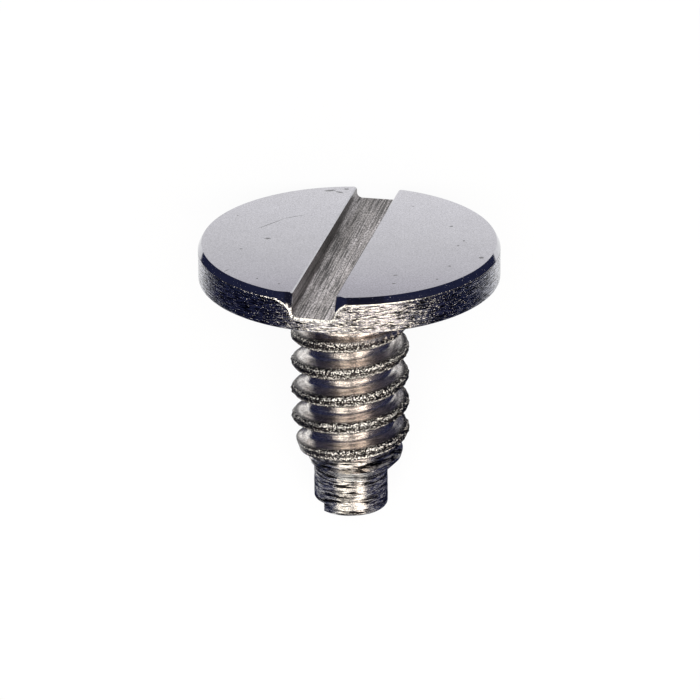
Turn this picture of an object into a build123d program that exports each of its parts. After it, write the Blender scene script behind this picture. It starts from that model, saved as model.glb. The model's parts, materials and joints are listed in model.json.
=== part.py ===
from build123d import *
import math
import os

# Driving dimensions, in millimetres and degrees

# Head: a thin round disc with a bevelled top edge
head_diameter = 2.56
head_thickness = 0.315
bevel_width = 0.03
bevel_height = 0.056
head_under_round = 0.012

# Driver slot: right across the head, a little off its middle and deeper towards the front
slot_width = 0.37
slot_depth_back = 0.105
slot_depth_front = 0.19
slot_corner_radius = 0.05
slot_lip = 0.01
slot_turn = 12.9
slot_shift = -0.027
# The worn corner at the slot's front left end, taken off equally on its three sides
corner_break = 0.085

# Neck: the plain shank under the head, nearly as wide as the thread
neck_diameter = 0.98
neck_length = 0.44
neck_fillet = 0.025
neck_cone_length = 0.08

# Thread: right-hand, cut down to the pilot
thread_diameter = 1.00
thread_pitch = 0.25
thread_length = 1.33
first_crest_depth = 0.64
flank_angle = 15.0
run_out_length = 0.12
run_out_sink = 0.01
lead_length = 0.23
lead_diameter = 0.864
end_cone_length = 0.12
# The thread's form, as shares of its pitch
crest_share = 0.304
depth_share = 0.56
root_corner_share = 0.09

# Pilot: the plain end that finds the hole, with a chip out of its left side
pilot_diameter = 0.63
pilot_length = 0.335
pilot_end_round = 0.03
chip_reach = 0.083
chip_height = 0.085

# How far a cutter or a trimmed shape reaches past what it meets, and the same where space is tight
overrun = 0.05
clearance = 0.005

# Sizes worked out from the driving dimensions
head_radius = head_diameter / 2
neck_radius = neck_diameter / 2
crest_radius = thread_diameter / 2
lead_radius = lead_diameter / 2
pilot_radius = pilot_diameter / 2
neck_plain = neck_length - neck_cone_length
thread_end = neck_length + thread_length
lead_end = thread_end - end_cone_length
lead_start = lead_end - lead_length
shank_length = thread_end + pilot_length
crest_width = crest_share * thread_pitch
root_corner = root_corner_share * thread_pitch
core_radius = crest_radius - depth_share * thread_pitch
# Where the cutters' cones end, just past the crests, and where their rings end, well past them
beyond_crest = crest_radius + clearance
outside = crest_radius + crest_width
flank_tan = math.tan(math.radians(flank_angle))
# The share of a round's radius by which the middle of its quarter arc stays short of the corner
corner = 1 - math.sqrt(0.5)


def turned(*edges):
    """The solid of revolution whose half section these edges close."""
    return revolve(Plane.XZ * make_face(Curve() + list(edges)), Axis.Z)


def ring(*points):
    """A turned ring whose section is the polygon through these radius and height pairs."""
    return turned(Polyline(*points, close=True))


def head_and_neck():
    """The head with its bevel and the plain neck, with the head's seat at height 0."""
    under_start = (head_radius, head_under_round)
    under_end = (head_radius - head_under_round, 0)
    under_middle = (
        head_radius - head_under_round * corner,
        head_under_round * corner,
    )
    fillet_start = (neck_radius + neck_fillet, 0)
    fillet_middle = (neck_radius + neck_fillet * corner, -neck_fillet * corner)
    fillet_end = (neck_radius, -neck_fillet)
    return turned(
        Polyline(
            (0, head_thickness),
            (head_radius - bevel_width, head_thickness),
            (head_radius, head_thickness - bevel_height),
            under_start,
        ),
        ThreePointArc(under_start, under_middle, under_end),
        Line(under_end, fillet_start),
        ThreePointArc(fillet_start, fillet_middle, fillet_end),
        Polyline(
            fillet_end,
            (neck_radius, -neck_plain + run_out_sink),
            (neck_radius - 2 * run_out_sink, -neck_plain - run_out_sink),
            (0, -neck_plain - run_out_sink),
            (0, head_thickness),
        ),
    )


def pilot():
    """The plain end, from inside the end cone down to its rounded edge."""
    round_start = (pilot_radius, -shank_length + pilot_end_round)
    round_end = (pilot_radius - pilot_end_round, -shank_length)
    round_middle = (
        pilot_radius - pilot_end_round * corner,
        -shank_length + pilot_end_round * corner,
    )
    top = -thread_end + overrun
    return turned(
        Polyline((0, top), (pilot_radius, top), round_start),
        ThreePointArc(round_start, round_middle, round_end),
        Polyline(round_end, (0, -shank_length), (0, top)),
    )


def groove_section():
    """The thread's groove cut through the axis: a flat root, two cut corners and two straight flanks."""

    def half_width(radius):
        return (thread_pitch - crest_width) / 2 - (crest_radius - radius) * flank_tan

    # the groove goes on above the crests by half their width, so that its turns don't meet
    top_radius = crest_radius + crest_width / 2
    lower_side = [
        (core_radius, half_width(core_radius) - root_corner),
        (core_radius + root_corner, half_width(core_radius + root_corner)),
        (top_radius, half_width(top_radius)),
    ]
    upper_side = [(radius, -half) for radius, half in reversed(lower_side)]
    return make_face(Polyline(*lower_side, *upper_side, close=True))


def groove_cutter():
    """The right-hand groove, wound past the thread's lower end and stopped by the neck's cone."""
    first_groove_depth = first_crest_depth - thread_pitch / 2
    turns_below = math.ceil((thread_end - first_groove_depth) / thread_pitch + 1)
    turns_above = math.ceil((first_groove_depth - neck_plain) / thread_pitch + 1)
    lowest = -first_groove_depth - turns_below * thread_pitch
    highest = -first_groove_depth + turns_above * thread_pitch
    path = Helix(thread_pitch, highest - lowest, core_radius, center=(0, 0, lowest))
    section = Pos(0, 0, lowest) * (Plane.XZ * groove_section())
    groove = sweep(section, path=path, is_frenet=True)
    # the neck's cone, which climbs from the core to the crests, and all that lies above it
    slope = neck_cone_length / (crest_radius - core_radius)
    inside = core_radius - overrun
    top = highest + thread_pitch
    neck_keep = ring(
        (inside, top),
        (inside, -neck_length - slope * overrun),
        (outside, -neck_length + slope * (outside - core_radius)),
        (outside, top),
    )
    return groove - neck_keep


def threaded_bar():
    """The threaded length: a bar with the groove cut in it, turned down at both ends."""
    bar_top = -neck_plain + 2 * overrun
    bar_bottom = -thread_end - overrun
    length = bar_top - bar_bottom
    bar = Pos(0, 0, (bar_top + bar_bottom) / 2) * Cylinder(crest_radius, length)
    # the crests start a little under the neck's surface and rise out of it on a slow cone
    sunk_radius = min(neck_radius, crest_radius) - run_out_sink
    run_out_slope = (crest_radius - sunk_radius) / run_out_length
    run_out_end = -neck_plain - (beyond_crest - sunk_radius) / run_out_slope
    run_out_waste = ring(
        (sunk_radius, bar_top + overrun),
        (sunk_radius, -neck_plain),
        (beyond_crest, run_out_end),
        (outside, run_out_end),
        (outside, bar_top + overrun),
    )
    # the lead takes down the crests of the last turns
    lead_slope = (crest_radius - lead_radius) / lead_length
    lead_top = -lead_start + clearance / lead_slope
    lead_foot = crest_radius - lead_slope * (thread_end - lead_start)
    lead_waste = ring(
        (lead_foot, -thread_end),
        (outside, -thread_end),
        (outside, lead_top),
        (beyond_crest, lead_top),
    )
    # the end cone narrows the bar from the lead's end to the pilot
    cone_slope = (lead_radius - pilot_radius) / end_cone_length
    cone_top = -lead_end + (beyond_crest - lead_radius) / cone_slope
    inside = pilot_radius - overrun
    cone_waste = ring(
        (inside, bar_bottom - overrun),
        (inside, -thread_end - overrun / cone_slope),
        (beyond_crest, cone_top),
        (outside, cone_top),
        (outside, bar_bottom - overrun),
    )
    return bar - groove_cutter() - run_out_waste - lead_waste - cone_waste


def slot_cutter():
    """A bar with rounded floor corners, tilted so that the slot deepens towards the front."""
    half = slot_width / 2
    inner = slot_corner_radius * corner
    mean_depth = (slot_depth_back + slot_depth_front) / 2
    above = slot_depth_front + 2 * overrun

    def side(sign):
        return [
            ThreePointArc(
                (sign * (half - slot_corner_radius), 0),
                (sign * (half - inner), inner),
                (sign * half, slot_corner_radius),
            ),
            Line((sign * half, slot_corner_radius), (sign * half, above)),
        ]

    outline = Curve() + [
        *side(1),
        *side(-1),
        Line((half - slot_corner_radius, 0), (slot_corner_radius - half, 0)),
        Line((half, above), (-half, above)),
    ]
    bar = extrude(Plane.XZ * make_face(outline), amount=head_radius + overrun, both=True)
    tilt = math.degrees(math.atan2(slot_depth_front - slot_depth_back, head_diameter))
    floor = Pos(slot_shift, 0, head_thickness - mean_depth) * Rot(tilt, 0, 0)
    return Rot(0, 0, -slot_turn) * floor * bar


def lip_cutter():
    """Breaks the slot's two upper edges along their whole length."""
    half = slot_width / 2
    outline = Polyline(
        (half, head_thickness - slot_lip),
        (half + slot_lip + overrun, head_thickness + overrun),
        (-half - slot_lip - overrun, head_thickness + overrun),
        (-half, head_thickness - slot_lip),
        close=True,
    )
    bar = extrude(Plane.XZ * make_face(outline), amount=head_radius + overrun, both=True)
    return Rot(0, 0, -slot_turn) * Pos(slot_shift, 0, 0) * bar


def corner_cutter():
    """Takes off the worn corner where the slot's left wall meets the top and the rim at the front."""
    wall = slot_shift - slot_width / 2
    front = -math.sqrt(head_radius**2 - wall**2)
    third = corner_break / 3
    middle = (wall - third, front + third, head_thickness - third)
    size = 3 * corner_break
    block = Plane(origin=middle, z_dir=(1, -1, 1)) * Pos(0, 0, size / 2) * Box(size, size, size)
    return Rot(0, 0, -slot_turn) * block


def chip_cutter():
    """The chip out of the left side of the pilot's end."""
    size = pilot_diameter
    x = chip_reach - pilot_radius - size / 2
    z = chip_height - shank_length - size / 2
    return Pos(x, 0, z) * Box(size, size, size)


def lying(screw):
    """The screw laid on its side as it comes to rest: on the head's lower rim and the shank's end."""
    rim_centre = (head_radius - head_under_round, head_under_round)

    def lean_onto(radius, height, rounding):
        """How far the axis leans down until the round at this place on the shank meets the ground."""
        drop = rim_centre[0] - radius
        run = rim_centre[1] - height
        return math.atan2(drop, run) + math.asin(
            (head_under_round - rounding) / math.hypot(drop, run)
        )

    # what touches first carries the shank: the pilot's end, or the thread where that is thicker
    lean = min(
        lean_onto(pilot_radius - pilot_end_round, pilot_end_round - shank_length, pilot_end_round),
        lean_onto(lead_radius, -lead_end, 0),
        lean_onto(crest_radius, -lead_start, 0),
    )
    lift = rim_centre[0] * math.cos(lean) - rim_centre[1] * math.sin(lean) + head_under_round
    front = -head_radius * math.sin(lean) - head_thickness * math.cos(lean)
    back = (pilot_radius - pilot_end_round) * math.sin(lean) + shank_length * math.cos(lean)
    place = Pos(0, -(front + back) / 2, lift)
    return place * Rot(90 - math.degrees(lean), 0, 0) * Rot(0, 0, 180) * screw


screw = head_and_neck() + threaded_bar() + pilot()
screw = screw - slot_cutter() - lip_cutter() - corner_cutter() - chip_cutter()
ratchet_wheel_screw = lying(screw)

os.makedirs("parts", exist_ok=True)
export_step(ratchet_wheel_screw, "parts/ratchet_wheel_screw.step")
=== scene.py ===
import json
import math

import bmesh
import bpy
from mathutils import Matrix, Vector, noise


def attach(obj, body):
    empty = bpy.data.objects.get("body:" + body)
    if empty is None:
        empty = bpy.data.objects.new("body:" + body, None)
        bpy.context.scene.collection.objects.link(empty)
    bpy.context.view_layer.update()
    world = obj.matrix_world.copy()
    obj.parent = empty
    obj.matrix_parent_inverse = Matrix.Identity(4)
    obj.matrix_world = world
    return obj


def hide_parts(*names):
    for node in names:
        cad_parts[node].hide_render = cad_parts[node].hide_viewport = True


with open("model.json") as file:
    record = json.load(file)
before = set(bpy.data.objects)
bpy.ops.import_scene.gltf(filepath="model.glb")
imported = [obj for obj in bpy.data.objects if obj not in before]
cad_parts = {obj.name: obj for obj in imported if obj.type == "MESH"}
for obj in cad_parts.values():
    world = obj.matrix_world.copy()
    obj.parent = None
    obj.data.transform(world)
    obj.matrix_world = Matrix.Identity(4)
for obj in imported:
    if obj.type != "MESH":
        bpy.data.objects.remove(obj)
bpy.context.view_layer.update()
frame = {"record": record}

# The screw's own frame: origin at the centre of the head's seat, z from the tip to the head,
# x to the picture's right and y away from the camera. Its mesh is made here in millimetres.
MM = 0.001
seat = next(m for m in frame["record"]["mounts"] if m["name"] == "head_seat")
seat_at = Vector(seat["pos_m"])
to_head = -Vector(seat["axis"]).normalized()
to_right = Vector((-1, 0, 0))
to_back = to_head.cross(to_right)
turn = Matrix((to_right, to_back, to_head)).transposed()
place = Matrix.Translation(seat_at) @ turn.to_4x4()

# Head, with the shares of the bevel's width and height at which its round section is stepped,
# and the height of the bright edge under it
HEAD_R = 1.28
HEAD_T = 0.315
BEVEL_IN = 0.03
BEVEL_DOWN = 0.056
BEVEL_STEPS = ((0.30, 0.2295), (0.62, 0.5354), (1.0, 1.0))
BEVEL_EDGE = 0.010
UNDER_ROUND = 0.012

# Slot
SLOT_HALF = 0.185
SLOT_TURN = math.radians(12.9)
SLOT_SHIFT = -0.027
SLOT_DEPTH_BACK = 0.105
SLOT_DEPTH_FRONT = 0.205
SLOT_CORNER = 0.05
SLOT_LIP = 0.010
# The bright lip round the slot's ends, and how thin it gets higher up on the walls
RIM_LIP = 0.018
UPPER_LIP = 0.0064
# Worn corners at the slot's ends: how far they reach to the side, down and along the slot
WORN_LEFT = (0.35, 0.155, 0.08)
WORN_RIGHT = (0.21, 0.15, 0.09)
WORN_BACK = (0.05, 0.05, 0.05)
WORN_CURVE = 1.8

# Neck: it ends in a cone down to the root, and the first crests rise out of it
NECK_R = 0.49
NECK_FILLET = 0.025
NECK_END = 0.36
NECK_CONE = 0.10
NECK_FALL = 0.16
RUN_OUT = 0.12
RUN_OUT_SINK = 0.02

# Thread, with the slope of its broken crest edges and where its flanks begin beside them
PITCH = 0.25
CREST_R = 0.50
CREST_W = 0.075
CREST_EDGE = 0.024
EDGE_SLOPE = 0.7
FLANK = math.radians(15)
FLANK_START = CREST_W / 2 + 0.0065
ROOT_R = 0.36
ROOT_ROUND = 0.045
FIRST_CREST = 0.650
LEAD_START = 1.42
LEAD_END = 1.65
LEAD_R = 0.432
THREAD_END = 1.77
# How much higher the thread's end is turned off on the left
LEFT_CUT = 0.05
# Where the round corner between flank and root has its centre, and where it meets the flank
CORNER_R = ROOT_R + ROOT_ROUND
CORNER_A = CREST_W / 2 + (CREST_R - CORNER_R) * math.tan(FLANK) + ROOT_ROUND / math.cos(FLANK)
TANGENT_A = CORNER_A - ROOT_ROUND * math.cos(FLANK)

# Wear of the crests, down to this far below their tops: burrs, and deeper nicks
WEAR_BAND = 0.05
BURR = 0.008
NICK = 0.12
GROOVE_WAVE = 0.0012

# Pilot, with the height and the reach of the chip out of it and the waviness of its side
PILOT_R = 0.315
PILOT_ROUND = 0.03
TIP = 2.105
CHIP_AT = 0.232
CHIP_DEEP = 0.085
PILOT_WAVE = 0.004
# The torn look of the pilot begins this deep, on the end cone
PILOT_LOOK = 1.565

# The mesh: its columns, the heights between which the thread is wound, and what counts as one point
COLUMNS = 288
WOUND_TOP = -0.34
WOUND_BOTTOM = -1.80
WOUND_FADE = 0.02
WOUND_R = 0.45
SAME_POINT = 2e-5
NO_LENGTH = 1e-6

# Zones of the screw's surface, in the order of its materials
FACE, BEVEL, RIM, LIP, SEAT, SHANK, PILOT, SLOT = range(8)

# Rows of the slot's walls, counted from the top: the broken edge, where the lip begins and
# where the low part of the wall begins
BROKEN_ROW = 1
LIP_ROW = 5
LOW_ROW = 10
WALL_ROWS = 10
CORNER_ROWS = 5


def rise(value, low, high):
    """0 up to the low mark, 1 from the high mark on, and even between them."""
    return max(0.0, min(1.0, (value - low) / (high - low)))


def quarter(count, first=1):
    """The angles that divide a quarter turn into this many steps."""
    return [math.pi / 2 * i / count for i in range(first, count + 1)]


def thread_radius(offset):
    """Radius of the thread's surface at this distance along the axis from the middle of a crest."""
    a = abs(offset)
    if a >= CORNER_A:
        return ROOT_R
    if a >= TANGENT_A:
        return CORNER_R - math.sqrt(max(0.0, ROOT_ROUND**2 - (CORNER_A - a) ** 2))
    flank = CREST_R - (a - CREST_W / 2) / math.tan(FLANK)
    edge = CREST_R - max(0.0, a - CREST_W / 2 + CREST_EDGE) * EDGE_SLOPE
    return min(CREST_R, flank, edge)


def thread_offsets():
    """Where the mesh's rows lie across a pitch, from half a pitch below a crest to half above it."""
    flat = CREST_W / 2 - CREST_EDGE
    half = [0.0, flat * 0.35, flat * 0.7, flat, flat + CREST_EDGE * 0.6]
    half += [FLANK_START + (TANGENT_A - FLANK_START) * i / 6 for i in range(7)]
    for i in range(1, 5):
        angle = (math.pi / 2 - FLANK) * (1 - i / 4)
        half.append(CORNER_A - ROOT_ROUND * math.sin(angle))
    half.append((CORNER_A + PITCH / 2) / 2)
    return sorted([-x for x in half[1:]] + half + [-PITCH / 2])


def envelope(depth):
    """The least and the greatest radius of the shank this deep under the seat."""
    low = NECK_R
    if depth >= NECK_END:
        low = NECK_R - (depth - NECK_END) / NECK_CONE * NECK_FALL
    high = CREST_R
    if depth < NECK_END + RUN_OUT:
        high = CREST_R - RUN_OUT_SINK * (NECK_END + RUN_OUT - depth) / RUN_OUT
    if depth > LEAD_START:
        high = CREST_R - (CREST_R - LEAD_R) * (depth - LEAD_START) / (LEAD_END - LEAD_START)
    if depth > LEAD_END:
        high = LEAD_R - (LEAD_R - PILOT_R) * (depth - LEAD_END) / (THREAD_END - LEAD_END)
        low = max(low, PILOT_R)
    low = max(low, 0.0)
    return low, max(high, low)


def shank_radius(angle, z, offset):
    """Radius of the worn shank at this angle and height, and this far from a crest's middle."""
    depth = -z
    if depth > LEAD_START:
        depth += LEFT_CUT * max(0.0, -math.cos(angle))
    low, high = envelope(depth)
    radius = max(low, min(thread_radius(offset), high))
    p = Vector((math.cos(angle) * 0.5, math.sin(angle) * 0.5, z))
    if z < -NECK_END - 0.03:
        raised = rise(radius, CREST_R - WEAR_BAND, CREST_R)
        burr = noise.noise(p * 28) + noise.noise(p * 70)
        # there are more nicks on the right
        nick = max(0.0, noise.noise(p * 20 + Vector((5, 0, 0))) - 0.32 + 0.12 * math.cos(angle))
        radius += raised * (BURR * burr - NICK * nick)
    return radius + GROOVE_WAVE * noise.noise(p * 9)


def solid(name, verts, faces, zones, materials):
    """A closed mesh with its faces in their zones and turned outwards, and its doubled points joined."""
    mesh = bpy.data.meshes.new(name)
    mesh.from_pydata(verts, [], faces)
    for material in materials:
        mesh.materials.append(material)
    mesh.polygons.foreach_set("material_index", zones)
    bm = bmesh.new()
    bm.from_mesh(mesh)
    bmesh.ops.remove_doubles(bm, verts=bm.verts, dist=SAME_POINT)
    bmesh.ops.dissolve_degenerate(bm, edges=bm.edges, dist=NO_LENGTH)
    loose = [v for v in bm.verts if not v.link_faces]
    bmesh.ops.delete(bm, geom=loose, context="VERTS")
    bmesh.ops.recalc_face_normals(bm, faces=bm.faces)
    bm.to_mesh(mesh)
    bm.free()
    return mesh


def head_rings():
    """Radius, height and zone of the rings from the face over the rim and the seat to the neck."""
    bevel_r = HEAD_R - BEVEL_IN
    rim_top = HEAD_T - BEVEL_DOWN - BEVEL_EDGE
    rings = [(r, HEAD_T, FACE) for r in (0.3, 0.6, 0.9, 1.15, bevel_r)]
    for out, down in BEVEL_STEPS:
        rings.append((bevel_r + BEVEL_IN * out, HEAD_T - BEVEL_DOWN * down, BEVEL))
    rings.append((HEAD_R, rim_top, LIP))
    for i in range(1, 9):
        rings.append((HEAD_R, rim_top - (rim_top - UNDER_ROUND) * i / 8, RIM))
    for a in quarter(3):
        r = HEAD_R - UNDER_ROUND + UNDER_ROUND * math.cos(a)
        rings.append((r, UNDER_ROUND * (1 - math.sin(a)), RIM))
    rings += [(r, 0, SEAT) for r in (1.1, 0.8, 0.6)]
    for a in quarter(4, first=0):
        r = NECK_R + NECK_FILLET * (1 - math.sin(a))
        rings.append((r, -NECK_FILLET * (1 - math.cos(a)), SEAT))
    rings += [(NECK_R, z, SHANK) for z in (-0.1, -0.2, -0.28, WOUND_TOP)]
    return rings


def pilot_rings():
    """Radius, height and waviness of the rings from the end cone to the pilot's end face."""
    side_end = TIP - PILOT_ROUND
    depths = [-WOUND_BOTTOM + (side_end + WOUND_BOTTOM) * i / 24 for i in range(1, 25)]
    # two rings close together keep the chip's upper edge sharp
    depths += [TIP - CHIP_DEEP - 0.001, TIP - CHIP_DEEP + 0.001]
    rings = [(PILOT_R, -depth, PILOT_WAVE) for depth in sorted(depths)]
    for a in quarter(4):
        r = PILOT_R - PILOT_ROUND * (1 - math.cos(a))
        rings.append((r, -side_end - PILOT_ROUND * math.sin(a), PILOT_WAVE / 2))
    rings.append((0.15, -TIP, 0.0))
    return rings


def screw_mesh(materials):
    """The turned screw with its thread, as one closed mesh, before the slot is cut."""
    verts, faces, zones = [], [], []

    def ring(radius, z, wave=0.0):
        first = len(verts)
        for k in range(COLUMNS):
            t = 2 * math.pi * k / COLUMNS
            r = radius
            if wave:
                r += wave * noise.noise(Vector((math.cos(t) * 2, math.sin(t) * 2, z * 14)))
            if z < -TIP + CHIP_DEEP and math.cos(t) < 0:
                r = min(r, CHIP_AT / -math.cos(t))
            verts.append((r * math.cos(t), r * math.sin(t), z))
        return first

    def bridge(upper, lower, zone):
        for k in range(COLUMNS):
            n = (k + 1) % COLUMNS
            faces.append((upper + k, lower + k, lower + n, upper + n))
            zones.append(zone)

    def fan(first, z, zone):
        for k in range(COLUMNS):
            faces.append((len(verts), first + k, first + (k + 1) % COLUMNS))
            zones.append(zone)
        verts.append((0, 0, z))

    previous = None
    for r, z, zone in head_rings():
        here = ring(r, z)
        if previous is None:
            fan(here, z, zone)
        else:
            bridge(previous, here, zone)
        previous = here

    # shank: one strip a pitch wide, wound up the thread and pressed flat against both ends
    offsets = thread_offsets()
    rows = len(offsets)
    turns_down = math.ceil((-WOUND_BOTTOM - FIRST_CREST) / PITCH) + 2
    turns = turns_down + math.ceil((FIRST_CREST + WOUND_TOP) / PITCH) + 3
    strip = len(verts)
    for k in range((turns + 1) * COLUMNS + 1):
        t = 2 * math.pi * k / COLUMNS
        crest = -FIRST_CREST - turns_down * PITCH + PITCH * k / COLUMNS
        for offset in offsets:
            z = max(WOUND_BOTTOM, min(WOUND_TOP, crest + offset))
            base = NECK_R if z > -1 else PILOT_R
            shape = min(1.0, (WOUND_TOP - z) / WOUND_FADE, (z - WOUND_BOTTOM) / WOUND_FADE)
            radius = base
            if shape > 0:
                radius += (shank_radius(t, z, offset) - base) * shape
            verts.append((radius * math.cos(t), radius * math.sin(t), z))
    for k in range(turns * COLUMNS):
        for j in range(rows):
            a, b = k * rows + j, (k + 1) * rows + j
            if j + 1 < rows:
                c, d = b + 1, a + 1
            else:
                c, d = (k + 1 + COLUMNS) * rows, (k + COLUMNS) * rows
            faces.append((strip + a, strip + b, strip + c, strip + d))
            zones.append(SHANK)

    previous = ring(PILOT_R, WOUND_BOTTOM)
    for r, z, wave in pilot_rings():
        here = ring(r, z, wave)
        bridge(previous, here, PILOT)
        previous = here
    fan(previous, -TIP, PILOT)
    return solid("screw", verts, faces, zones, materials)


def worn(s, depth, aside, deep, long):
    """How far a worn corner widens the slot at this share of its half length and this depth."""
    left = 1 - max(0.0, 1 - s) * HEAD_R / long - depth / deep
    return aside * max(0.0, left) ** WORN_CURVE


def slot_section(s):
    """The slot's outline across it, as places aside and depths, from the left wall to the right."""
    end_lip = rise(abs(s), 1 - RIM_LIP / HEAD_R, 1) * RIM_LIP
    floor = SLOT_DEPTH_BACK + (SLOT_DEPTH_FRONT - SLOT_DEPTH_BACK) * (s + 1) / 2
    wall = floor - SLOT_CORNER - SLOT_LIP
    depths = [-0.06, 0.0, SLOT_LIP]
    depths += [SLOT_LIP + wall * i / WALL_ROWS for i in range(1, WALL_ROWS + 1)]
    section = []
    for side, front in ((-1, WORN_LEFT), (1, WORN_RIGHT)):
        points = []
        for depth in depths:
            below = max(depth, 0.0)
            out = worn(s, below, *front) + worn(-s, below, *WORN_BACK)
            points.append((SLOT_HALF + max(0.0, SLOT_LIP - below) + out + end_lip, depth))
        for a in quarter(CORNER_ROWS):
            points.append((
                SLOT_HALF - SLOT_CORNER * (1 - math.cos(a)) + end_lip * math.cos(a),
                floor - SLOT_CORNER * (1 - math.sin(a)) + end_lip * math.sin(a),
            ))
        points = [(side * aside, depth) for aside, depth in points]
        section += points if side < 0 else reversed(points)
    return section


def slot_zone(row, s):
    """The zone of the slot's surface in this row of a wall, at this share of its half length."""
    low = row >= LOW_ROW
    lip = RIM_LIP if low else UPPER_LIP
    if row >= LIP_ROW and abs(s) > 1 - lip / HEAD_R:
        return LIP
    if row == BROKEN_ROW or (not low and s > 1 - WORN_LEFT[2] / HEAD_R):
        return BEVEL
    return SLOT


def slot_mesh(materials):
    """What the slot takes away: a bar with a sloping floor, round corners and flared ends."""
    along = [-0.94 + 1.88 * i / 20 for i in range(21)]
    ends = [0.88 + 0.12 * i / 16 for i in range(1, 17)]
    ends += [1 - RIM_LIP / HEAD_R, 1 - UPPER_LIP / HEAD_R, 1.05]
    along += [side * s for s in ends for side in (-1, 1)]
    along = sorted(set(round(s, 5) for s in along))
    verts, faces, zones = [], [], []
    for s in along:
        for aside, depth in slot_section(s):
            aside += SLOT_SHIFT
            ahead = s * math.sqrt(HEAD_R**2 - aside**2)
            x = -math.sin(SLOT_TURN) * ahead + math.cos(SLOT_TURN) * aside
            y = -math.cos(SLOT_TURN) * ahead - math.sin(SLOT_TURN) * aside
            verts.append((x, y, HEAD_T - depth))
    count = len(verts) // len(along)
    for i in range(len(along) - 1):
        middle = (along[i] + along[i + 1]) / 2
        a, b = i * count, (i + 1) * count
        for j in range(count):
            n = (j + 1) % count
            faces.append((a + j, a + n, b + n, b + j))
            zones.append(slot_zone(min(j, count - 2 - j), middle))
    last = (len(along) - 1) * count
    faces.append(tuple(range(count - 1, -1, -1)))
    faces.append(tuple(range(last, last + count)))
    zones += [SLOT, SLOT]
    return solid("slot", verts, faces, zones, materials)


def cut_slot(mesh, materials):
    """The mesh with the slot cut out of it."""
    body = bpy.data.objects.new("body", mesh)
    tool = bpy.data.objects.new("tool", slot_mesh(materials))
    for o in (body, tool):
        bpy.context.scene.collection.objects.link(o)
    cut = body.modifiers.new("cut", "BOOLEAN")
    cut.operation = "DIFFERENCE"
    cut.solver = "EXACT"
    cut.material_mode = "INDEX"
    cut.object = tool
    graph = bpy.context.evaluated_depsgraph_get()
    result = bpy.data.meshes.new_from_object(body.evaluated_get(graph))
    bpy.data.objects.remove(body)
    bpy.data.objects.remove(tool)
    return result


def wear(depth, radius, offset):
    """How torn a place of the shank looks, and how near it is to a crest's edge, both 0 to 1."""
    if depth > LEAD_END + 0.02:
        return 1.0, 0.7
    flat = 0.0
    if radius > ROOT_R:
        flat = 1 - rise(offset, CREST_W / 2, CREST_W / 2 + 0.012)
    high = rise(radius, CREST_R - 0.060, CREST_R - 0.040)
    on_thread = rise(depth, NECK_END + 0.05, NECK_END + 0.08)
    near_edge = max(0.0, 1 - abs(offset - CREST_W / 2 + 0.008) / 0.018)
    return max(flat, high) * on_thread, near_edge


def finished_screw(materials):
    """The slotted screw in its place, with its wear and the lines of the thread as attributes."""
    mesh = cut_slot(screw_mesh(materials), materials)
    bm = bmesh.new()
    bm.from_mesh(mesh)
    bmesh.ops.remove_doubles(bm, verts=bm.verts, dist=SAME_POINT)
    crest = bm.verts.layers.float.new("crest")
    edge = bm.verts.layers.float.new("edge")
    wound = bm.loops.layers.uv.new("wound")
    for f in bm.faces:
        f.smooth = True
        centre = f.calc_center_median()
        if f.material_index == SHANK and centre.z < -PILOT_LOOK:
            f.material_index = PILOT
        middle = math.atan2(centre.y, centre.x)
        for loop in f.loops:
            co = loop.vert.co
            t = math.atan2(co.y, co.x)
            t += 2 * math.pi * round((middle - t) / (2 * math.pi))
            loop[wound].uv = (WOUND_R * t, co.z - PITCH * t / (2 * math.pi))
    for v in bm.verts:
        turns = (v.co.z + FIRST_CREST) / PITCH - math.atan2(v.co.y, v.co.x) / (2 * math.pi)
        offset = abs(turns - round(turns)) * PITCH
        v[crest], v[edge] = wear(-v.co.z, math.hypot(v.co.x, v.co.y), offset)
    bm.to_mesh(mesh)
    bm.free()
    mesh.set_sharp_from_angle(angle=math.radians(22))
    mesh.transform(Matrix.Scale(MM, 4))
    mesh.transform(place)
    return mesh


def tree_of(owner):
    """The emptied shader tree of a material or a world."""
    owner.use_nodes = True
    owner.node_tree.nodes.clear()
    return owner.node_tree


def add(tree, kind, sockets=None, **settings):
    """A shader node with its settings, and its sockets set to constants or linked to outputs."""
    node = tree.nodes.new(kind)
    for name, value in settings.items():
        setattr(node, name, value)
    for name, value in (sockets or {}).items():
        join(tree, value, node.inputs[name])
    return node


def join(tree, value, socket):
    """Links an output to the socket, or sets the socket to a constant."""
    if isinstance(value, bpy.types.NodeSocket):
        tree.links.new(value, socket)
    else:
        socket.default_value = value


def own_mm(tree):
    """Texture coordinates in the screw's own frame, in millimetres."""
    node = add(tree, "ShaderNodeMapping", {
        "Vector": add(tree, "ShaderNodeTexCoord").outputs["Object"],
        "Location": seat_at, "Rotation": turn.to_euler(), "Scale": (MM, MM, MM),
    }, vector_type="TEXTURE")
    return node.outputs["Vector"]


def mapped(tree, vector, scale, rotation=(0, 0, 0)):
    node = add(tree, "ShaderNodeMapping", {
        "Vector": vector, "Scale": scale, "Rotation": rotation,
    })
    return node.outputs["Vector"]


def texture(tree, vector, scale, detail=3.0, rough=0.55, distortion=0.0):
    """Noise from about 0.3 to 0.7, with this many waves in a millimetre."""
    node = add(tree, "ShaderNodeTexNoise", {
        "Vector": vector, "Scale": scale, "Detail": detail, "Roughness": rough,
        "Distortion": distortion,
    })
    return node.outputs["Fac"]


def stretched(tree, vector, scales, detail, rough, distortion=0.0):
    """The same noise with its own number of waves in each direction."""
    return texture(tree, mapped(tree, vector, scales), 1.0, detail, rough, distortion)


def calc(tree, operation, *values):
    """One step of arithmetic on numbers or outputs."""
    sockets = dict(enumerate(values))
    return add(tree, "ShaderNodeMath", sockets, operation=operation).outputs["Value"]


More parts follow.
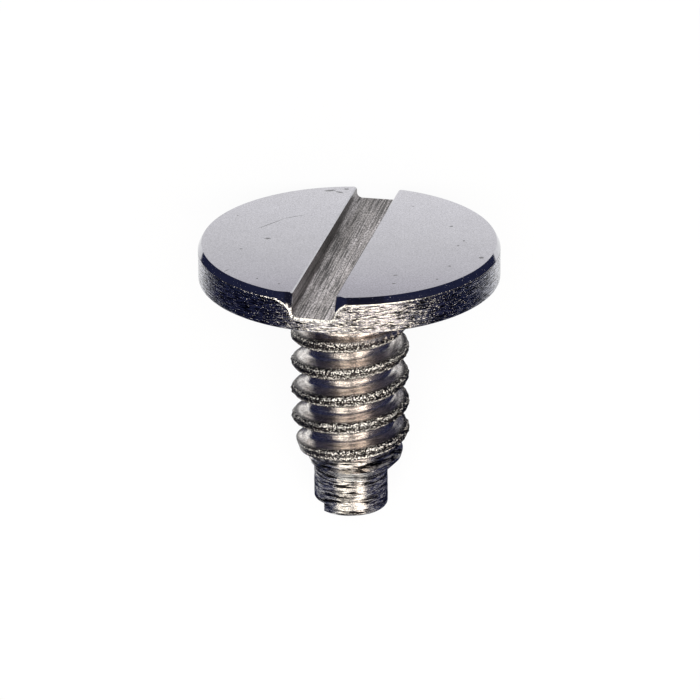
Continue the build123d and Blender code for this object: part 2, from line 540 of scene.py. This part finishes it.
def remap(tree, value, low, high, new_low, new_high):
    """The value taken evenly from one range to another, and held there."""
    node = add(tree, "ShaderNodeMapRange", {
        "Value": value, "From Min": low, "From Max": high, "To Min": new_low, "To Max": new_high,
    })
    return node.outputs["Result"]


def past(tree, value, low, high):
    """0 up to the low mark and 1 from the high mark on."""
    return remap(tree, value, low, high, 0.0, 1.0)


def between(tree, share, first, second):
    return remap(tree, share, 0.0, 1.0, first, second)


def beside(tree, vector, x):
    """How far a place lies to the side of this x."""
    across = add(tree, "ShaderNodeSeparateXYZ", {"Vector": vector}).outputs["X"]
    return calc(tree, "ABSOLUTE", calc(tree, "SUBTRACT", across, x))


def ramp(tree, factor, *stops):
    node = add(tree, "ShaderNodeValToRGB", {"Fac": factor})
    band = node.color_ramp
    while len(band.elements) < len(stops):
        band.elements.new(0.5)
    for element, (position, colour) in zip(band.elements, stops):
        element.position = position
        element.color = (*colour, 1)
    return node.outputs["Color"]


def mixed(tree, factor, first, second):
    """The first colour, blended into the second one by the factor."""
    node = add(tree, "ShaderNodeMix", {"Factor": factor}, data_type="RGBA")
    colours = [socket for socket in node.inputs if socket.type == "RGBA"]
    for socket, value in zip(colours, (first, second)):
        join(tree, value, socket)
    return next(o for o in node.outputs if o.type == "RGBA")


def tinted(tree, colour, *amounts):
    """The colour scaled by each of these grey amounts."""
    for amount in amounts:
        sockets = {0: colour, "Scale": amount}
        colour = add(tree, "ShaderNodeVectorMath", sockets, operation="SCALE").outputs["Vector"]
    return colour


def bump(tree, height, distance, normal=None, strength=1.0):
    sockets = {"Height": height, "Distance": distance, "Strength": strength}
    if normal is not None:
        sockets["Normal"] = normal
    return add(tree, "ShaderNodeBump", sockets).outputs["Normal"]


def steel(tree, colour, roughness, normal, metallic=1.0):
    """Ends the tree in a metal surface."""
    shader = add(tree, "ShaderNodeBsdfPrincipled", {
        "Base Color": colour, "Metallic": metallic, "Roughness": roughness, "Normal": normal,
    })
    add(tree, "ShaderNodeOutputMaterial", {"Surface": shader.outputs["BSDF"]})


# Marks on the polished face: place across and towards the back, half length, half width, turn
MARKS = (
    (-0.69, 0.07, 0.022, 0.016, 0), (-0.91, -0.16, 0.012, 0.010, 0),
    (0.87, 0.31, 0.014, 0.010, 10), (1.11, -0.40, 0.018, 0.020, 0),
    (0.92, -0.13, 0.010, 0.010, 0), (0.97, -0.02, 0.008, 0.012, 0),
    (0.84, -0.58, 0.010, 0.012, 0), (0.385, -0.77, 0.019, 0.008, 4),
    (0.37, -0.95, 0.016, 0.009, 0), (0.73, -0.87, 0.007, 0.012, 0),
    (-0.77, -0.82, 0.007, 0.012, 0), (-0.585, -0.94, 0.008, 0.010, 0),
    (-1.03, -0.64, 0.030, 0.005, 50), (-0.67, 0.40, 0.130, 0.0045, 44),
    (-0.47, 0.56, 0.085, 0.004, 24), (-0.16, 1.16, 0.045, 0.016, 10),
    (-0.08, 1.12, 0.035, 0.012, -30), (-0.02, 1.19, 0.020, 0.014, 0),
    (-0.95, 0.60, 0.007, 0.007, 0), (0.55, 0.78, 0.008, 0.008, 0),
    (0.20, 0.10, 0.006, 0.008, 0),
)


def face_look(t, mm):
    """The polished top: painted reflection, bluish grey and darker towards the front and a little
    lighter to the right, grained, with pits and wipe marks.
    """
    spot = add(t, "ShaderNodeSeparateXYZ", {"Vector": mm})
    # painted reflection: the colour runs from a darker bluish grey at the front to a paler grey at the
    # back
    colour = ramp(
        t, past(t, spot.outputs["Y"], -1.3, 1.3),
        (0.04, (0.300, 0.292, 0.335)), (0.12, (0.341, 0.331, 0.378)), (0.24, (0.398, 0.390, 0.432)),
        (0.47, (0.459, 0.453, 0.490)), (0.80, (0.529, 0.522, 0.565)), (1.0, (0.560, 0.552, 0.590)),
    )
    # painted reflection: a little lighter towards the right
    side = remap(t, spot.outputs["X"], -1.2, 1.2, 0.98, 1.04)
    cloud = remap(t, texture(t, mm, 4.0, 4.0), 0.3, 0.7, 0.97, 1.03)
    grain = remap(t, texture(t, mm, 80.0, 2.0, 0.7), 0.35, 0.65, 0.80, 1.20)
    nearest = None
    for x, y, length, width, angle in MARKS:
        local = add(t, "ShaderNodeMapping", {
            "Vector": mm, "Location": (x, y, HEAD_T), "Rotation": (0, 0, math.radians(angle)),
            "Scale": (length, width, 1.0),
        }, vector_type="TEXTURE").outputs["Vector"]
        apart = add(t, "ShaderNodeVectorMath", {0: local}, operation="LENGTH").outputs["Value"]
        nearest = apart if nearest is None else calc(t, "MINIMUM", nearest, apart)
    ragged = remap(t, texture(t, mm, 70.0, 2.0), 0.3, 0.7, -0.35, 0.35)
    marks = remap(t, calc(t, "ADD", nearest, ragged), 0.75, 1.4, 0.27, 1.0)
    normal = bump(t, texture(t, mm, 60.0, 3.0), 1.2e-7, strength=0.5)
    steel(t, tinted(t, colour, side, cloud, grain, marks), 0.07, bump(t, marks, 2.0e-6, normal))


def bevel_look(t, mm):
    """The polished bevel, with a few bare specks."""
    colour = ramp(t, texture(t, mm, 20.0), (0.3, (0.44, 0.44, 0.47)), (0.7, (0.56, 0.56, 0.60)))
    specks = texture(t, mm, 100.0, 2.0, 0.7)
    normal = bump(t, texture(t, mm, 60.0), 4e-7, strength=0.5)
    steel(t, colour, 0.10, normal, remap(t, specks, 0.70, 0.74, 1.0, 0.2))


def rim_look(t, mm):
    """The turned rim: fine lines and cracks, and painted glints, near-white streaks and specks, thickest
    at the front where the lamps' highlights fall.
    """
    aside = beside(t, mm, 0.06)
    line = stretched(t, mm, (2.5, 2.5, 85), 3.0, 0.65)
    crack = stretched(t, mm, (12, 12, 100), 3.0, 0.7)
    streak = stretched(t, mm, (20, 20, 120), 3.0, 0.75)
    speck = stretched(t, mm, (92, 92, 110), 2.0, 0.75)
    # painted glints: streaks and specks come more often near the front middle and are drawn in a warm
    # near-white, less metallic than the rim
    streak_glints = calc(t, "ADD", streak, remap(t, aside, 0.30, 0.80, 0.075, -0.05))
    speck_glints = calc(t, "ADD", speck, remap(t, aside, 0.45, 1.05, 0.05, -0.035))
    lit = calc(t, "MAXIMUM", past(t, streak_glints, 0.60, 0.66), past(t, speck_glints, 0.64, 0.70))
    lit = calc(t, "MULTIPLY", lit, remap(t, crack, 0.41, 0.48, 0.0, 0.92))
    base = ramp(t, line, (0.38, (0.32, 0.33, 0.38)), (0.60, (0.60, 0.61, 0.68)))
    base = tinted(t, base, remap(t, crack, 0.44, 0.52, 0.05, 1.0))
    colour = mixed(t, lit, base, (1.0, 0.94, 0.81, 1))
    normal = bump(t, speck, 1e-6, bump(t, line, 5e-6))
    steel(t, colour, between(t, lit, 0.12, 0.35), normal, between(t, lit, 1.0, 0.35))


def lip_look(t, mm):
    """The worn edge with a painted highlight: brightest round the slot's front end, and fading to the
    sides.
    """
    # painted highlight: the lip is drawn in a warm near-white, less metallic, most round the front
    # middle
    bright = remap(t, beside(t, mm, -0.08), 0.45, 0.90, 0.18, 0.0)
    speck = texture(t, mm, 80.0, 2.0, 0.7)
    lit = past(t, calc(t, "ADD", speck, bright), 0.60, 0.68)
    colour = ramp(t, lit, (0.0, (0.22, 0.22, 0.23)), (1.0, (0.92, 0.88, 0.79)))
    steel(t, colour, 0.4, bump(t, speck, 2e-6), between(t, lit, 1.0, 0.15))


def seat_look(t, mm):
    """The finely turned underside of the head."""
    colour = ramp(t, texture(t, mm, 12.0), (0.3, (0.52, 0.52, 0.52)), (0.7, (0.64, 0.64, 0.64)))
    steel(t, colour, 0.26, bump(t, texture(t, mm, 50.0), 5e-7, strength=0.5))


def shank_look(t, mm):
    """Thread: lined grooves of a warm tone, and rough torn crests, dark with painted glints, most near
    their edges and fewer towards the sides.
    """
    wound = add(t, "ShaderNodeUVMap", uv_map="wound").outputs["UV"]
    crest = add(t, "ShaderNodeAttribute", attribute_name="crest").outputs["Fac"]
    edge = add(t, "ShaderNodeAttribute", attribute_name="edge").outputs["Fac"]
    lines = stretched(t, wound, (3.5, 85, 1), 3.0, 0.6)
    blotch = texture(t, mm, 14.0, 5.0, 0.6)
    grain = texture(t, mm, 80.0, 2.0, 0.75)
    groove = tinted(
        t, ramp(t, blotch, (0.36, (0.66, 0.62, 0.60)), (0.62, (0.96, 0.91, 0.86))),
        remap(t, lines, 0.38, 0.54, 0.62, 1.05), remap(t, grain, 0.36, 0.62, 0.66, 1.24),
    )
    # painted glints: the crests' near-white specks come more often near their edges and less often
    # towards the sides, and are less metallic
    fading = remap(t, beside(t, mm, 0.03), 0.16, 0.42, 0.0, -0.06)
    painted_glint_bias = calc(t, "ADD", between(t, edge, 0.01, 0.13), fading)
    lit = past(t, calc(t, "ADD", grain, painted_glint_bias), 0.60, 0.64)
    torn = ramp(t, lit, (0.0, (0.075, 0.07, 0.07)), (1.0, (1.0, 0.96, 0.87)))
    relief = calc(t, "MULTIPLY", grain, between(t, crest, 0.3, 1.0))
    normal = bump(t, relief, 5.0e-6, bump(t, lines, 2.8e-6))
    bare = {"Factor": crest, "A": 1.0, "B": between(t, lit, 1.0, 0.3)}
    metallic = add(t, "ShaderNodeMix", bare, data_type="FLOAT").outputs["Result"]
    steel(t, mixed(t, crest, groove, torn), between(t, crest, 0.25, 0.22), normal, metallic)


def pilot_look(t, mm):
    """The pilot's turned side, with dark tears round it."""
    lines = stretched(t, mm, (5, 5, 40), 4.0, 0.65, 0.25)
    fine = stretched(t, mm, (18, 18, 110), 2.0, 0.6)
    colour = ramp(
        t, lines,
        (0.43, (0.015, 0.015, 0.015)), (0.48, (0.46, 0.45, 0.43)), (0.54, (0.98, 0.97, 0.93)),
    )
    normal = bump(t, fine, 3e-6, bump(t, lines, 9e-6))
    steel(t, colour, 0.16, normal, remap(t, fine, 0.48, 0.62, 1.0, 0.84))


def slot_look(t, mm):
    """The milled slot: fine streaks along it, grained, with painted shade darker towards its back end
    and deepest by its left wall.
    """
    along = mapped(t, mm, (1, 1, 1), (0, 0, SLOT_TURN))
    spot = add(t, "ShaderNodeSeparateXYZ", {"Vector": along})
    across = spot.outputs["X"]
    broad = stretched(t, along, (22, 0.6, 12), 2.0, 0.5)
    streaks = stretched(t, along, (105, 1.2, 60), 2.0, 0.6)
    grain = stretched(t, along, (78, 60, 78), 2.0, 0.7)
    # painted shade: darkest by the left wall, lifting over the floor beside it
    wall = SLOT_SHIFT - SLOT_HALF
    shade = calc(
        t, "ADD", remap(t, across, wall + 0.015, wall + 0.12, 0.58, 0.90),
        remap(t, across, wall + 0.1, wall + 0.32, 0.0, 0.25),
    )
    colour = tinted(
        t, ramp(
            t, broad,
            (0.36, (0.26, 0.24, 0.235)), (0.50, (0.37, 0.345, 0.345)), (0.64, (0.47, 0.44, 0.45)),
        ),
        remap(t, streaks, 0.39, 0.51, 0.22, 1.12), remap(t, grain, 0.36, 0.64, 0.25, 1.75),
        # painted shade: lighter at the front end, darker towards the back end
        remap(t, spot.outputs["Y"], -1.2, 1.2, 1.25, 0.70), shade,
    )
    steel(t, colour, 0.3, bump(t, grain, 1.6e-6, bump(t, streaks, 1.8e-6)))


# The materials of the zones, in the zones' order
LOOKS = (
    ("polished_face", face_look), ("polished_bevel", bevel_look), ("turned_rim", rim_look),
    ("bright_lip", lip_look), ("turned_seat", seat_look), ("cut_thread", shank_look),
    ("turned_pilot", pilot_look), ("milled_slot", slot_look),
)
materials = []
for name, look in LOOKS:
    material = bpy.data.materials.new(name)
    tree = tree_of(material)
    look(tree, own_mm(tree))
    materials.append(material)

screw = bpy.data.objects.new("screw_surface", finished_screw(materials))
bpy.context.scene.collection.objects.link(screw)
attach(screw, "root")
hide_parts("ratchet_wheel_screw")


def panel(name, corners, material):
    """A flat four-cornered piece of the set."""
    mesh = bpy.data.meshes.new(name)
    mesh.from_pydata(corners, [], [(0, 1, 2, 3)])
    mesh.materials.append(material)
    o = bpy.data.objects.new(name, mesh)
    bpy.context.scene.collection.objects.link(o)
    return o


def seen_white(tree):
    """1 for the rays to which the ground is plain white: seen, mirrored and let through."""
    path = add(tree, "ShaderNodeLightPath").outputs
    seen = calc(tree, "MAXIMUM", path["Is Camera Ray"], path["Is Glossy Ray"])
    return calc(tree, "MAXIMUM", seen, path["Is Transmission Ray"])


# Floor: white, with the screw's soft shadow
FLOOR_HALF = 3.0
FLOOR_GREY = 0.52
FLOOR_GLOW = 0.93
paper = bpy.data.materials.new("white_floor")
tree = tree_of(paper)
share = calc(tree, "MULTIPLY", seen_white(tree), FLOOR_GLOW)
matte = add(tree, "ShaderNodeBsdfDiffuse", {"Color": (FLOOR_GREY, FLOOR_GREY, FLOOR_GREY, 1)})
glow = add(tree, "ShaderNodeEmission", {"Color": (1, 1, 1, 1), "Strength": 1.0})
blend = add(tree, "ShaderNodeMixShader", {
    "Fac": share, 1: matte.outputs["BSDF"], 2: glow.outputs["Emission"],
})
add(tree, "ShaderNodeOutputMaterial", {"Surface": blend.outputs["Shader"]})
floor_corners = [(FLOOR_HALF * x, FLOOR_HALF * y, 0) for x, y in ((-1, -1), (1, -1), (1, 1), (-1, 1))]
floor = panel("floor", floor_corners, paper)

# Dark cards beside the screw and under its shank, seen by nothing but the polished steel
card_material = bpy.data.materials.new("dark_card")
tree = tree_of(card_material)
dark = add(tree, "ShaderNodeEmission", {"Color": (0.022, 0.026, 0.064, 1), "Strength": 1.0})
add(tree, "ShaderNodeOutputMaterial", {"Surface": dark.outputs["Emission"]})


def card(name, *corners):
    """A dark card with its corners in millimetres."""
    o = panel(name, [[MM * v for v in corner] for corner in corners], card_material)
    o.visible_camera = False
    o.visible_diffuse = False
    o.visible_shadow = False
    o.visible_transmission = False


def upright_card(name, x, front, back, top):
    card(name, (x, front, 0), (x, back, 0), (x, back, top), (x, front, top))


def flat_card(name, left, right, front, back, z=0.004):
    card(name, (left, front, z), (right, front, z), (right, back, z), (left, back, z))


upright_card("left_far_card", 2.35, -2.9, 2.5, 8)
upright_card("left_near_card", 0.95, -0.25, 2.4, 1.5)
upright_card("right_far_card", -2.7, -2.9, 2.5, 8)
upright_card("right_near_card", -0.95, -0.25, 2.4, 1.5)
flat_card("end_card", 0.50, 0.85, 1.04, 2.4)
flat_card("under_card", -0.95, 0.50, -0.9, 2.4)

# World: a dim blue room, pale only round the horizon
BAND_RISE = 1.15
world = bpy.data.worlds.new("room")
bpy.context.scene.world = world
tree = tree_of(world)
way = add(tree, "ShaderNodeTexCoord").outputs["Generated"]
way = add(tree, "ShaderNodeSeparateXYZ", {"Vector": way}).outputs
room = ramp(
    tree, way["Z"],
    (0.0, (0.027, 0.031, 0.072)), (0.7, (0.020, 0.023, 0.051)), (1.0, (0.012, 0.013, 0.029)),
)
# the pale band rises in front of the polished face, where only that face mirrors it
lift = calc(tree, "MULTIPLY", calc(tree, "MINIMUM", way["Y"], 0.0), BAND_RISE)
band = remap(tree, calc(tree, "ADD", way["Z"], lift), 0.02, 0.05, 1.0, 0.0)
white = calc(tree, "MULTIPLY", seen_white(tree), band)
colour = mixed(tree, white, room, (1, 1, 1, 1))
back = add(tree, "ShaderNodeBackground", {"Color": colour, "Strength": 1.0})
add(tree, "ShaderNodeOutputWorld", {"Surface": back.outputs["Background"]})


def lamp(name, way, distance, width, height, watts, colour, shiny=True):
    """A lamp that faces the origin, with its upright edge along the screw's axis."""
    data = bpy.data.lights.new(name, "AREA")
    data.shape = "RECTANGLE"
    data.size = width
    data.size_y = height
    data.energy = watts
    data.color = colour
    o = bpy.data.objects.new(name, data)
    bpy.context.scene.collection.objects.link(o)
    direction = Vector(way).normalized()
    edge = (to_head - direction * to_head.dot(direction)).normalized()
    facing = Matrix((edge.cross(direction), edge, direction)).transposed().to_4x4()
    o.matrix_world = Matrix.Translation(direction * distance) @ facing
    o.visible_glossy = shiny
    o.visible_camera = False


lamp(
    "left_lamp", (0.401, 0.535, 0.744), distance=0.3,
    width=0.180, height=0.34, watts=0.41, colour=(1.0, 0.91, 0.79),
)
lamp(
    "right_lamp", (-0.579, 0.492, 0.651), distance=0.3,
    width=0.230, height=0.34, watts=0.68, colour=(1.0, 0.87, 0.75),
)
lamp(
    "front_fill", (-0.087, 0.560, 0.824), distance=0.32,
    width=0.48, height=0.32, watts=0.08, colour=(1.0, 0.86, 0.77),
)
lamp(
    "overhead", (0.0, 0.1, 1.0), distance=0.3,
    width=0.3, height=0.3, watts=1.8, colour=(1.0, 1.0, 1.0), shiny=False,
)

# Camera: a little above the plane of the head, with the picture's width and all distances in
# millimetres
PICTURE_WIDTH = 5.932
DISTANCE = 56.0
ELEVATION = math.radians(23.0)
ROLL = math.radians(0.45)
AIM_DROP = 0.632
SENSOR = 36.0
towards = turn @ Vector((0, -math.cos(ELEVATION), math.sin(ELEVATION)))
upwards = turn @ Vector((0, math.sin(ELEVATION), math.cos(ELEVATION)))
sideways = upwards.cross(towards)
aim = seat_at - upwards * AIM_DROP * MM
data = bpy.data.cameras.new("camera")
data.sensor_width = SENSOR
data.lens = SENSOR * DISTANCE / PICTURE_WIDTH
data.clip_start = 0.005
data.clip_end = 10.0
camera = bpy.data.objects.new("camera", data)
bpy.context.scene.collection.objects.link(camera)
camera.matrix_world = (
    Matrix.Translation(aim + towards * DISTANCE * MM)
    @ Matrix((sideways, upwards, towards)).transposed().to_4x4()
    @ Matrix.Rotation(-ROLL, 4, "Z")
)
bpy.context.scene.camera = camera
bpy.context.scene.view_settings.view_transform = "Standard"
